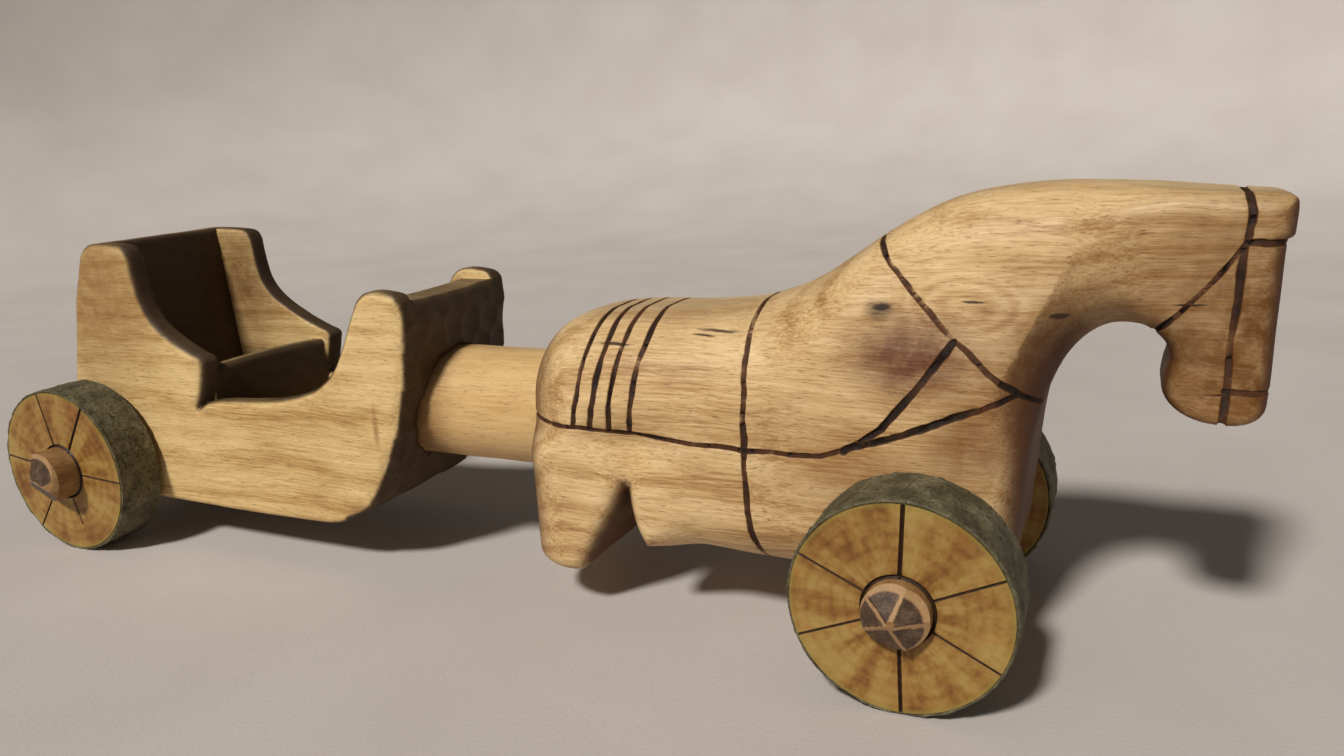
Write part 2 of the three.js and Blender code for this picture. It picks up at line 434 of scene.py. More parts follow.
def horse(x, y, z):
    body = rounded_slab(horse_side(x, z), y, horse_half_width(x, z), horse_edge(x, z))
    body = body + 0.16 * wobble(x, y, z, 34, 3) + 0.05 * wobble(x, y, z, 11, 4)
    hollow_cheek = 1.1 * np.exp(-(((x - 166.5) / 3.6) ** 2 + ((z - 71) / 7) ** 2))
    body = body + hollow_cheek * rise(5, 12, np.abs(y))
    return drilled(body, x, y, z, FRONT_AXLE, -9, BAR_HIGH[0] + 0.3)


# each harness cut is its path, its width, its depth and a seed for how it wavers
HORSE_CUTS = [
    CutLine([(26.6, 53.2), (28.6, 62), (29.4, 76), (29.6, 92)], 1.6, 0.9, 11),
    CutLine([(31.4, 53.2), (33.2, 62), (34.6, 74), (33.8, 92)], 1.75, 0.95, 14),
    CutLine([(36.5, 53), (38.0, 62), (39.4, 76), (39.2, 92)], 1.6, 0.9, 17),
    CutLine([(42.2, 52.8), (43.6, 61), (45.3, 74), (45.4, 92)], 1.6, 0.9, 20),
    CutLine([(77.5, 10), (75, 26), (73.6, 36), (72.8, 51.5), (73, 66), (72.6, 77), (71.9, 95)],
            1.6, 1.1, 23),
    CutLine([(-4, 52.9), (12, 53.6), (27, 53.4), (46, 52.5), (72, 51.2)], 1.35, 0.9, 26),
    CutLine([(72, 51.2), (84, 50.7), (91.5, 51.1), (99, 53.8)], 1.5, 0.9, 29),
    CutLine([(97, 52.8), (105.3, 58.5), (113.9, 69.3), (120.9, 79.2)], 2.0, 1.1, 32),
    CutLine([(97, 53.0), (109.8, 57.3), (122.6, 63.1), (134.3, 68)], 1.9, 1.0, 35),
    CutLine([(101, 102.5), (102.6, 99.3), (105.4, 95), (110.2, 90.5), (120.8, 79.2), (134.3, 68),
             (140.5, 62.5)], 1.5, 0.95, 38),
    CutLine([(175, 115), (175.4, 109.8), (176.3, 105.8), (175.6, 99.8)], 2.0, 1.0, 41),
    CutLine([(175.6, 99.8), (175.1, 90.3), (174.3, 78), (174, 66), (173.8, 56)], 1.7, 0.95, 44),
    CutLine([(175.6, 99.9), (190, 99.8)], 1.5, 1.1, 47),
    CutLine([(175.6, 99.8), (170.5, 92.2), (164.6, 85.2), (158.6, 79)], 1.3, 1.0, 50),
    CutLine([(174.2, 69.1), (190, 68.9)], 1.75, 1.2, 53),
    CutLine([(170.6, 68), (173.6, 68.2)], 0.8, 0.35, 56),
]  # fmt: skip


# ---------------------------------------------------------------- the carriage

CHEEK_Y = CARRIAGE_HIGH[1]
INNER_Y = 19.5
SEAT_FLOOR = 40
FOOT_FLOOR = 34
SEAT_BACK, BACK_LEAN, SEAT_FRONT = -136.8, 0.085, -104
BOARD_X, BOARD_HALF, BOARD_ROUND = -110.9, 2.9, 1.7
BOARD_TOP, BOARD_FOOT = 60.6, 30
CHEEK_EDGE = 2.2  # how far the block's long edges are rounded over
DASH_THIN, DASH_FACE = -46, -18  # the dashboard lies between these
DASH_CORNER = 83  # how high the dashboard is between its two raised corners
FACE_BACK, FACE_TOP = -62, 90  # the box that holds every gouge mark
CARRIAGE_OUTLINE = traced([
    (-155, 14.6),
    [(-129.6, 14.3), (-103.6, 13.8), (-70, 13.9), (-60, 14.5), (-52.4, 17.2), (-45.2, 22.2), (-39, 31),
     (-33.8, 41), (-30.6, 50), (-28.1, 59), (-26.4, 71), (-25.9, 79), (-26.6, 83.4)],
    [(-28.4, 85.1), (-32, 85.9), (-36.6, 86.2), (-40.2, 85.4), (-42.8, 83.2)],
    [(-45.6, 78), (-49.3, 70.6), (-54.2, 62.7), (-60.7, 57.2), (-69, 54), (-79.3, 51.8), (-91.8, 50.8),
     (-104.7, 49.6), (-110.2, 47.2)],
    [(-107.6, 53), (-105.2, 62)],
    [(-106.4, 63.6), (-110, 65), (-117.7, 68.8), (-125, 74.4), (-128.9, 81.5), (-130.4, 89),
     (-130.9, 94.5)],
    [(-132.2, 97), (-135.5, 98.1), (-146.5, 98.5), (-150.8, 97.6), (-153.8, 94.8)],
    (-159.8, 80.3),
    (-167.6, 51.1),
    [(-171, 34), (-170.6, 23), (-165, 16.4), (-158, 14.8)],
])  # fmt: skip
DASH_FRONT = np.array([
    (-26.2, 84), (-26, 76), (-28.1, 59), (-33.8, 41), (-39, 31), (-45.2, 22.2), (-53, 16.5),
])  # fmt: skip
DASH_BACK = np.array([(-60, 34), (-53.5, 40), (-47.5, 54), (-42.5, 68), (-38.2, 83), (-36, 92)])
carriage_side = SideView(CARRIAGE_OUTLINE)
foot_hollow = SideView(traced([
    (-105, FOOT_FLOOR),
    (-60, FOOT_FLOOR),
    [tuple(point) for point in DASH_BACK[1:]],
    (-36, 110),
    (-105, 110),
]))  # fmt: skip
REAR_AXLE = axle_of("rear_right_wheel_bark")


def seat_skew(x, y, z):
    """The seat was cut on the skew: its left cheek and board stand further forward."""
    share = np.clip((y + 22) / 44, -0.1, 1.1)
    lean = blend(10, 5, rise(62, 82, z))
    return share * lean * rise(-150, -132, x) * (1 - rise(-86, -70, x))


def scatter_gouges():
    """The middle of each gouge mark down the dashboard's face."""
    rng = np.random.default_rng(5)
    lengths = np.linalg.norm(np.diff(DASH_FRONT, axis=0), axis=1)
    distance = np.concatenate([[0], np.cumsum(lengths)])
    middles = []
    for row, at in enumerate(np.arange(4, distance[-1] + 6, 8.2)):
        for column in range(6):
            s = at + rng.uniform(-2.4, 2.4)
            y = -26.4 + 9.6 * (column + 0.5 * (row % 2)) + rng.uniform(-2.2, 2.2)
            x, z = (np.interp(s, distance, DASH_FRONT[:, axis]) for axis in (0, 1))
            middles.append((x, y, z))
    return np.array(middles)


GOUGES = scatter_gouges()


def gouge_marks(x, y, z):
    """(depth, ridge): how deep the gouge went, and how close the point is to a ridge left between."""
    first = np.full(x.shape, 1e9)
    second = np.full(x.shape, 1e9)
    for gx, gy, gz in GOUGES:
        gap = np.sqrt((x - gx) ** 2 + ((y - gy) * 1.05) ** 2 + ((z - gz) * 0.85) ** 2)
        second = np.minimum(second, np.maximum(first, gap))
        first = np.minimum(first, gap)
    on_face = 1 - rise(1.5, 4, to_path(DASH_FRONT, x, z)[0])
    depth = np.maximum(0, 30 - first**2) * 0.024
    return on_face * depth, on_face * (1 - rise(0.2, 1.9, second - first))


def seat_board(skewed, y, z):
    """The upright board under the seat's front edge, hollowed a little and rounded on top."""
    top = BOARD_TOP + 0.03 * y - 0.002 * y * y
    away = np.abs(skewed - BOARD_X)
    board = np.maximum(away - BOARD_HALF, np.maximum(np.abs(y) - INNER_Y - 1, z - top))
    board = np.maximum(board, BOARD_FOOT - z)
    over = np.maximum(away - BOARD_HALF + BOARD_ROUND, 0)
    top_round = np.hypot(over, np.maximum(z - top + BOARD_ROUND, 0)) - BOARD_ROUND
    return np.maximum(board, np.where(z > top - BOARD_ROUND, top_round, -9))


def carriage(x, y, z):
    skewed = x - seat_skew(x, y, z)
    body = rounded_slab(carriage_side(skewed, z), y, CHEEK_Y - 0.1, CHEEK_EDGE)
    front = (x > FACE_BACK) & (z < FACE_TOP)
    depth = np.zeros(x.shape)
    depth[front] = gouge_marks(x[front], y[front], z[front])[0]
    body = body + depth + 0.09 * wobble(x, y, z, 26, 7) + 0.03 * wobble(x, y, z, 8, 9)
    across = np.abs(y) - INNER_Y
    seat = np.maximum(SEAT_BACK - BACK_LEAN * (z - SEAT_FLOOR) - x, skewed - SEAT_FRONT)
    seat = np.maximum(seat, np.maximum(SEAT_FLOOR - z, across))
    foot = np.maximum(foot_hollow(skewed, z), across)
    foot = np.maximum(foot, FOOT_FLOOR + 0.0002 * (x + 80) ** 2 - z)
    dip = DASH_CORNER - 0.5 * (1 - (y / 20) ** 2)
    low_middle = np.maximum(np.maximum(DASH_THIN - x, x - DASH_FACE), np.maximum(across, dip - z))
    body = soft_cut(body, np.minimum(np.minimum(seat, foot), low_middle), 1.6)
    body = soft_join(body, seat_board(skewed, y, z), 0.7)
    return drilled(body, x, y, z, REAR_AXLE, BAR_LOW[0] - 0.3, -10)


# ---------------------------------------------------------------- node trees


class Value:
    """A socket that carries a number, so that sums can be written as sums."""

    def __init__(self, bench, socket):
        self.bench, self.socket = bench, socket

    def _math(self, operation, *others):
        inputs = dict(enumerate([self, *others]))
        return self.bench.make("ShaderNodeMath", {"operation": operation}, inputs)

    def __add__(self, other):
        return self._math("ADD", other)

    def __mul__(self, other):
        return self._math("MULTIPLY", other)

    def __sub__(self, other):
        return self._math("SUBTRACT", other)

    def __truediv__(self, other):
        return self._math("DIVIDE", other)

    def __rsub__(self, other):
        return self.bench.make("ShaderNodeMath", {"operation": "SUBTRACT"}, {0: other, 1: self})

    __radd__ = __add__
    __rmul__ = __mul__

    def power(self, other):
        return self._math("POWER", other)

    def size(self):
        return self._math("ABSOLUTE")

    def root(self):
        return self._math("SQRT")

    def sine(self):
        return self._math("SINE")

    def at_least(self, other):
        return self._math("MAXIMUM", other)

    def between(self, start, end):
        """0 at start, 1 at end, smooth and held outside."""
        inputs = {"Value": self, 1: start, 2: end, 3: 0, 4: 1}
        return self.bench.make("ShaderNodeMapRange", {"interpolation_type": "SMOOTHSTEP"}, inputs)


class Bench:
    """A node tree with one way to make any node."""

    def __init__(self, tree):
        self.tree = tree

    def make(self, kind, settings=None, inputs=None, out=0):
        node = self.tree.nodes.new(kind)
        for key, value in (settings or {}).items():
            if key == "stops":
                ramp = node.color_ramp
                while len(ramp.elements) < len(value):
                    ramp.elements.new(0.5)
                for element, (place, colour) in zip(ramp.elements, value):
                    element.position = place
                    element.color = (*colour, 1)
            else:
                setattr(node, key, value)
        for key, value in (inputs or {}).items():
            self.feed(node.inputs[key], value)
        return Value(self, node.outputs[out])

    def feed(self, socket, value):
        """Links what another node made, or sets a plain value. A list gives several links."""
        if isinstance(value, list):
            for one in value:
                self.feed(socket, one)
        elif isinstance(value, Value):
            self.tree.links.new(value.socket, socket)
        else:
            socket.default_value = (*value, 1) if socket.type == "RGBA" else value

    def vectors(self, operation, *given, out=0):
        return self.make("ShaderNodeVectorMath", {"operation": operation}, dict(enumerate(given)), out)

    def shift(self, vector, by):
        return self.vectors("ADD", vector, by)

    def stretch(self, vector, by):
        return self.vectors("MULTIPLY", vector, by)

    def scaled(self, vector, by):
        return self.make("ShaderNodeVectorMath", {"operation": "SCALE"}, {0: vector, "Scale": by})

    def length(self, vector):
        return self.vectors("LENGTH", vector, out="Value")

    def part(self, vector, letter):
        return self.make("ShaderNodeSeparateXYZ", None, {0: vector}, out=letter)

    def vector(self, x=0.0, y=0.0, z=0.0):
        return self.make("ShaderNodeCombineXYZ", None, {0: x, 1: y, 2: z})


class Paint(Bench):
    """A material's tree, with the few readings that wood needs."""

    def __init__(self, name):
        self.material = bpy.data.materials.new(name)
        self.material.use_nodes = True
        super().__init__(self.material.node_tree)
        self.tree.nodes.clear()
        self.mm = self.scaled(self.make("ShaderNodeTexCoord", out="Object"), 1 / MM)

    def mask(self, key):
        return self.make("ShaderNodeAttribute", {"attribute_name": key}, out="Fac")

    def noise(self, place, scale=1.0, detail=2.0, rough=0.5, out="Fac"):
        """Cloudy noise; scale is one number, or one for each axis."""
        if isinstance(scale, tuple):
            place, scale = self.stretch(place, scale), 1.0
        inputs = {"Vector": place, "Scale": scale, "Detail": detail, "Roughness": rough}
        return self.make("ShaderNodeTexNoise", None, inputs, out)

    def mix(self, a, b, share):
        return self.make("ShaderNodeMix", {"data_type": "RGBA"}, {0: share, 6: a, 7: b}, out=2)

    def ramp(self, value, stops):
        return self.make("ShaderNodeValToRGB", {"stops": stops}, {0: value})

    def near(self, centre, reach, place=None, full=0.15):
        """0 from reach outward and 1 from a share of it inward; reach has a size for each axis."""
        moved = self.shift(place or self.mm, tuple(-c for c in centre))
        return self.length(self.stretch(moved, tuple(1 / r for r in reach))).between(1, full)

    def round_axle(self, axle):
        """How far a place is ahead of an axle, above it and away from it."""
        across, up = self.part(self.mm, "X") - axle[0], self.part(self.mm, "Z") - axle[1]
        return across, up, (across * across + up * up).root()

    def finish(self, colour, rough, height, lift, coat=0.0, glow=None):
        """The material: a colour, a roughness and a height whose whole range is lift mm."""
        inputs = {"Base Color": colour, "Roughness": rough, "Coat Weight": coat}
        inputs.update({"Specular IOR Level": 0.32, "Coat Roughness": 0.3})
        if glow is not None:
            inputs.update({"Emission Color": glow, "Emission Strength": 1.0})
        bump = {"Height": height, "Strength": 1.0, "Distance": lift * MM}
        inputs["Normal"] = self.make("ShaderNodeBump", None, bump, out="Normal")
        shader = self.make("ShaderNodeBsdfPrincipled", None, inputs)
        surface = self.tree.nodes.new("ShaderNodeOutputMaterial").inputs["Surface"]
        self.tree.links.new(shader.socket, surface)
        return self.material


def rgb(red, green, blue):
    """A colour given in everyday 0 to 255 numbers, as the linear values that nodes take."""
    parts = [c / 255 for c in (red, green, blue)]
    return tuple(p / 12.92 if p <= 0.04045 else ((p + 0.055) / 1.055) ** 2.4 for p in parts)


def carved_wood(name, pith, tones, dark_end, stains_and_shade, cracks=(), knots=(), streaks=1.0):
    """Oiled wood with its grain along X: rings round the pith, fibres, pores and dark end grain."""
    p = Paint(name)
    pale, mid, deep = tones
    drift = p.noise(p.mm, (0.012, 0.03, 0.03), detail=3, out="Color")
    drift = p.vectors("SUBTRACT", drift, (0.5, 0.5, 0.5))
    bent = p.vectors("MULTIPLY_ADD", drift, (0, 7, 7), p.mm)
    radius = p.length(p.stretch(p.shift(bent, (0, -pith[0], -pith[1])), (0, 1, 1)))
    uneven = p.noise(p.mm, (0.02, 0.05, 0.05), detail=2)
    ring = ((radius * 1.15 + uneven * 7).sine() * 0.5 + 0.5).power(2.2)
    broad = p.noise(p.mm, (0.022, 0.055, 0.055), detail=3, rough=0.6)
    band = p.noise(bent, (0.012, 0.55, 0.55), detail=4, rough=0.65)
    fibre = p.noise(bent, (0.07, 2.0, 2.0), detail=4, rough=0.75)
    pores = p.noise(bent, (0.34, 3.4, 3.4), detail=2, rough=0.5).between(0.60, 0.72)
    dashes = p.noise(bent, (0.13, 1.5, 1.5), detail=3, rough=0.65).between(0.58, 0.76)
    tone = broad * 0.42 + band * 0.3 * streaks + ring * 0.09 + fibre * 0.62 * streaks
    for centre, reach in knots:
        share = p.near(centre, reach) + (uneven - 0.5) * 0.5
        tone = tone + (share * 15).sine() * share.between(0.0, 0.4) * 0.055 + share * 0.05
    colour = p.ramp(tone.between(0.48, 0.95), [(0.0, pale), (0.5, mid), (1.0, deep)])
    colour = p.mix(colour, rgb(96, 58, 26), pores * 0.5 * streaks)
    colour = p.mix(colour, rgb(112, 70, 32), dashes * 0.42 * streaks)
    cloud = p.noise(p.shift(p.mm, (31, 7, 3)), 0.22, detail=4, rough=0.65)
    patchy = cloud.between(0.25, 0.7) * 0.35 + fibre * 0.3 + 0.5
    # each stain, or painted shade given like a stain, pulls the wood toward its colour
    for centre, reach, tint, strength in stains_and_shade:
        colour = p.mix(colour, tint, p.near(centre, reach) * patchy * strength)
    ragged = p.noise(p.mm, 0.16, detail=4, out="Color")
    ragged = p.shift(p.vectors("MULTIPLY_ADD", ragged, (0, 0, 1.3), p.mm), (0, 0, -0.65))
    for centre, reach in cracks:
        colour = p.mix(colour, rgb(40, 22, 12), p.near(centre, reach, ragged, 0.55) * 0.9)
    speck = p.noise(p.mm, (0.4, 0.9, 0.9), detail=4, rough=0.7)
    # darker end grain, and on the carriage darker faces that look up or down
    darkness = (p.mask("end_grain") + (speck - 0.5) * 0.16).between(0.34, 0.94)
    colour = p.mix(colour, dark_end, darkness * 0.93)
    worn = p.mask("ridge") * speck.between(0.3, 0.65)
    colour = p.mix(colour, rgb(112, 78, 48), worn * 0.34)
    # painted shade: the cut lines are darkened, darkest near their bottom
    cut = p.mask("cut")
    in_cut = cut.between(0.02, 0.25)
    bottom = cut.between(0.15, 0.5) * 0.9 + speck * 0.1
    colour = p.mix(colour, p.mix(rgb(90, 52, 24), rgb(24, 13, 6), bottom), in_cut)
    rough = 0.46 + fibre * 0.12 + darkness * 0.14 + in_cut * 0.2 - broad * 0.06
    height = fibre * 0.35 + band * 0.25 - pores * 0.35 - dashes * 0.2
    return p.finish(colour, rough, height, 0.1)


def slice_wood(name, axle, radius, seed):
    """The sawn and oiled face of a branch slice, with rays and soft rings round its middle."""
    p = Paint(name)
    across, up, away = p.round_axle(axle)
    aside, above = across / away, up / away
    fans = p.noise(p.vector(aside * 3, above * 3, away * 0.07 + seed), detail=3, rough=0.55)
    rays = p.noise(p.vector(aside * 24, above * 24, away * 0.12 + seed), detail=3)
    rings = ((away * 2.1 + fans * 5).sine() * 0.5 + 0.5).power(2)
    cloud = p.noise(p.shift(p.mm, (seed * 9, 0, 0)), 0.12, detail=4, rough=0.6)
    fine = p.noise(p.mm, 0.9, detail=5, rough=0.7)
    tone = fans * 0.74 + cloud * 0.26 + rays * 0.05 + rings * 0.04 + (fine - 0.5) * 0.22
    colour = p.ramp(tone.between(0.32, 0.8), [
        (0.0, rgb(170, 142, 80)), (0.4, rgb(150, 112, 54)),
        (0.7, rgb(126, 84, 36)), (1.0, rgb(94, 56, 22)),
    ])  # fmt: skip
    colour = p.mix(colour, rgb(176, 104, 48), p.noise(p.mm, 0.16).between(0.62, 0.78) * 0.4)
    colour = p.mix(colour, rgb(152, 136, 62), away.between(radius - 1.5, radius - 0.2) * 0.42)
    grain = p.noise(p.mm, 3.2, detail=4, rough=0.7)
    colour = p.mix(colour, rgb(92, 60, 28), grain.between(0.58, 0.76) * 0.3)
    height = grain * 0.4 + rays * 0.5 + fans
    return p.finish(colour, 0.42 + grain * 0.16 + rings * 0.05, height, 0.12, coat=0.1)


def bark_skin(name, axle, radius, seed):
    """Thin bark: dark and speckled outside, with a yellow-green line where it shows on the face."""
    p = Paint(name)
    cloud = p.noise(p.shift(p.mm, (seed * 11, 0, 0)), 0.16, detail=4, rough=0.6)
    speck = p.noise(p.mm, 1.1, detail=4, rough=0.7)
    fleck = p.noise(p.shift(p.mm, (5, seed, 9)), 0.75, detail=3, rough=0.65)
    colour = p.ramp(cloud * 0.6 + speck * 0.5, [
        (0.30, rgb(40, 36, 26)), (0.48, rgb(74, 68, 48)),
        (0.60, rgb(100, 94, 68)), (0.74, rgb(136, 126, 102)),
    ])  # fmt: skip
    colour = p.mix(colour, rgb(30, 24, 18), fleck.between(0.56, 0.68) * 0.8)
    lichen = p.noise(p.mm, 0.9, detail=3).between(0.66, 0.76)
    colour = p.mix(colour, rgb(150, 142, 120), lichen * 0.5)
    away = p.round_axle(axle)[2]
    rim = away.between(radius - 0.5, radius - 0.95) * p.mask("face_edge")
    colour = p.mix(colour, p.mix(rgb(150, 142, 66), rgb(116, 104, 44), cloud), rim)
    rough = 0.62 + speck * 0.2 - rim * 0.15
    return p.finish(colour, rough, cloud + speck * 0.7 + fleck * 0.5, 0.22)


def plain_wood(name, pale, deep, scale, rough, stretch=(1, 1, 1)):
    """Wood too small to show a grain of its own."""
    p = Paint(name)
    place = p.stretch(p.mm, stretch)
    cloud = p.noise(place, scale, detail=4, rough=0.65)
    fine = p.noise(place, scale * 5, detail=3, rough=0.7)
    colour = p.mix(pale, deep, (cloud * 0.7 + fine * 0.4).between(0.35, 0.72))
    return p.finish(colour, rough + fine * 0.15, cloud + fine * 0.5, 0.08, coat=0.08)


def whittled(name, axle, side, radius, ridges):
    """Dark knife flats on a peg's head, with the pale ridges left where they meet."""
    p = Paint(name)
    across, up, _ = p.round_axle(axle)
    across, up = across * -side + 0.6, up + 0.9
    cloud = p.noise(p.mm, 0.5, detail=4, rough=0.65)
    speck = p.noise(p.mm, 2.2, detail=3, rough=0.7)
    flats = (cloud * 0.8 + speck * 0.4).between(0.35, 0.75)
    colour = p.mix(rgb(112, 88, 66), rgb(62, 44, 32), flats)
    line = (across * across + up * up).root().between(radius - 0.9, radius - 0.3)
    for angle in ridges:
        way = math.radians(angle)
        ahead = across * math.cos(way) + up * math.sin(way)
        aside = (across * math.sin(way) - up * math.cos(way) + (cloud - 0.5) * 1.5).size()
        line = line.at_least(aside.between(0.66, 0.3) * ahead.between(-0.5, 0.2))
    pale = p.mix(rgb(186, 150, 106), rgb(150, 112, 70), cloud)
    colour = p.mix(colour, pale, line * speck.between(0.2, 0.45))
    return p.finish(colour, 0.45 + speck * 0.15, cloud + speck * 0.4, 0.1, coat=0.08)


# ---------------------------------------------------------------- geometry nodes


class Workshop(Bench):
    """A Geometry Nodes tree with named inputs: sizes in metres, and materials given as None."""

    def __init__(self, name, **inputs):
        tree = bpy.data.node_groups.new(name, "GeometryNodeTree")
        super().__init__(tree)
        tree.interface.new_socket("Geometry", in_out="INPUT", socket_type="NodeSocketGeometry")
        for key, value in inputs.items():
            kind = "NodeSocketMaterial" if value is None else "NodeSocketFloat"
            socket = tree.interface.new_socket(key, in_out="INPUT", socket_type=kind)
            if value is not None:
                socket.default_value = value
        tree.interface.new_socket("Geometry", in_out="OUTPUT", socket_type="NodeSocketGeometry")
        self.source = tree.nodes.new("NodeGroupInput")
        self.result = tree.nodes.new("NodeGroupOutput")

    def given(self, key):
        return Value(self, self.source.outputs[key])

    def kept(self, geometry, key, kind, value):
        """Stores a value on every point under a name."""
        settings = {"data_type": kind, "domain": "POINT"}
        inputs = {"Geometry": geometry, "Name": key, "Value": value}
        return self.make("GeometryNodeStoreNamedAttribute", settings, inputs)

    def read(self, key, kind):
        return self.make("GeometryNodeInputNamedAttribute", {"data_type": kind}, {"Name": key})

    def drum(self, vertices, radius, depth):
        inputs = {"Vertices": vertices, "Radius": radius, "Depth": depth}
        return self.make("GeometryNodeMeshCylinder", {"fill_type": "NGON"}, inputs)

    def circle(self, points, radius):
        inputs = {"Resolution": points, "Radius": radius}
        return self.make("GeometryNodeCurvePrimitiveCircle", {"mode": "RADIUS"}, inputs)

    def swept(self, curve, section):
        return self.make("GeometryNodeCurveToMesh", None, {"Curve": curve, "Profile Curve": section})

    def moved(self, geometry, by, turn=(0, 0, 0)):
        inputs = {"Geometry": geometry, "Translation": by, "Rotation": turn}
        return self.make("GeometryNodeTransform", None, inputs)

    def pushed(self, geometry, by):
        """Moves each point by its own offset."""
        return self.make("GeometryNodeSetPosition", None, {"Geometry": geometry, "Offset": by})

    def less(self, body, tool):
        settings = {"operation": "DIFFERENCE", "solver": "EXACT"}
        return self.make("GeometryNodeMeshBoolean", settings, {"Mesh 1": body, "Mesh 2": tool})

    def painted(self, geometry, key):
        inputs = {"Geometry": geometry, "Material": self.given(key)}
        return self.make("GeometryNodeSetMaterial", None, inputs)

    def end(self, geometry):
        real = self.make("GeometryNodeRealizeInstances", None, {"Geometry": geometry})
        self.tree.links.new(real.socket, self.result.inputs[0])
        return self.tree


def grown(name, tree, seeds, settings, place):
    """Runs a tree on a few seed points, and returns the plain mesh object, put in its place."""
    mesh = bpy.data.meshes.new(name + "_seed")
    mesh.from_pydata([tuple(float(c) for c in s[:3]) for s in seeds], [], [])
    sizes = [float(s[3]) if len(s) > 3 else 1.0 for s in seeds]
    mesh.attributes.new("size", "FLOAT", "POINT").data.foreach_set("value", sizes)
    holder = bpy.data.objects.new(name + "_seed", mesh)
    bpy.context.scene.collection.objects.link(holder)
    modifier = holder.modifiers.new("grow", "NODES")
    modifier.node_group = tree
    for item in tree.interface.items_tree:
        if item.in_out == "INPUT" and item.name in settings:
            modifier[item.identifier] = settings[item.name]
    graph = bpy.context.evaluated_depsgraph_get()
    graph.update()
    made = bpy.data.meshes.new_from_object(holder.evaluated_get(graph))
    bpy.data.objects.remove(holder)
    made.name = name
    made.transform(place)
    return made


def slice_tree():
    """A round branch slice with a bore, a ring cut round its hub, and a V cut along each seed's way."""
    w = Workshop("branch_slice", Radius=0.02, Half=0.009, Bore=0.0056, Hub=0.008, Depth=0.001,
                 Wood=None, Cut=None)  # fmt: skip
    half, depth = w.given("Half"), w.given("Depth")
    disc = w.painted(w.drum(180, w.given("Radius"), half * 2), "Wood")
    bore = w.drum(64, w.given("Bore"), half * 3)
    kept = w.kept(w.given("Geometry"), "way", "FLOAT_VECTOR", w.make("GeometryNodeInputPosition"))
    face = w.vector(z=half)
    on_face = w.make("GeometryNodeSetPosition", None, {"Geometry": kept, "Position": face})
    way = w.read("way", "FLOAT_VECTOR")
    size = w.read("size", "FLOAT")
    turned = {"axis": "X", "pivot_axis": "Z"}
    turn = w.make("FunctionNodeAlignRotationToVector", turned, {"Vector": way})
    blade = w.make("GeometryNodeMeshCube", None, {"Size": w.vector(1.0, depth, depth)})
    blade = w.moved(blade, (0.5, 0, 0), (math.radians(45), 0, 0))
    spokes = w.make("GeometryNodeInstanceOnPoints", None, {
        "Points": on_face, "Instance": w.painted(blade, "Cut"), "Rotation": turn,
        "Scale": w.vector(w.length(way), size, size * 1.25)})  # fmt: skip
    ring = w.swept(w.moved(w.circle(96, w.given("Hub")), face), w.circle(4, depth * 0.8))
    for tool in (w.painted(bore, "Cut"), spokes, w.painted(ring, "Cut")):
        disc = w.less(disc, tool)
    return w.end(disc)


def bark_tree():
    """A thin uneven band: a rounded strip swept round a circle, roughened outside."""
    w = Workshop("bark_band", Radius=0.025, Half=0.009, Thick=0.0014, Seed=1.0, Bark=None)
    thick, half, radius = w.given("Thick"), w.given("Half"), w.given("Radius")
    strip = w.make("GeometryNodeCurvePrimitiveQuadrilateral", {"mode": "RECTANGLE"}, {
        "Width": thick, "Height": half * 2})  # fmt: skip
    strip = w.make("GeometryNodeFilletCurve", {"mode": "POLY"}, {
        "Curve": strip, "Radius": thick * 0.3, "Count": 2})  # fmt: skip
    strip = w.make("GeometryNodeResampleCurve", {"mode": "COUNT"}, {"Curve": strip, "Count": 66})
    band = w.swept(w.circle(260, radius - thick * 0.5), strip)
    place = w.make("GeometryNodeInputPosition")
    flat = w.stretch(place, (1, 1, 0))
    on_edge = (w.part(place, "Z").size() - half).between(-0.0004, -0.0001)
    band = w.kept(band, "face_edge", "FLOAT", on_edge)
    outside = (w.length(flat) - radius).between(-0.0009, -0.0001)
    spot = w.shift(place, w.vector(z=w.given("Seed")))
    lumps, grain = (
        w.make("ShaderNodeTexNoise", None, {"Vector": spot, "Scale": scale, "Detail": detail}) - 0.5
        for scale, detail in ((170.0, 3.0), (800.0, 2.0))
    )
    warts = w.make("ShaderNodeTexVoronoi", None, {"Vector": spot, "Scale": 330.0}, out="Distance")
    lift = lumps * 0.0011 + grain * 0.0004 + (0.35 - warts).at_least(0) * 0.0012
    band = w.pushed(band, w.scaled(w.vectors("NORMALIZE", flat), lift * outside))
    band = w.pushed(band, w.vector(z=lumps * on_edge * outside * 0.0009))
    return w.end(w.painted(band, "Bark"))


FLATS_BELOW = 12  # how far under a peg's end the flats are measured from


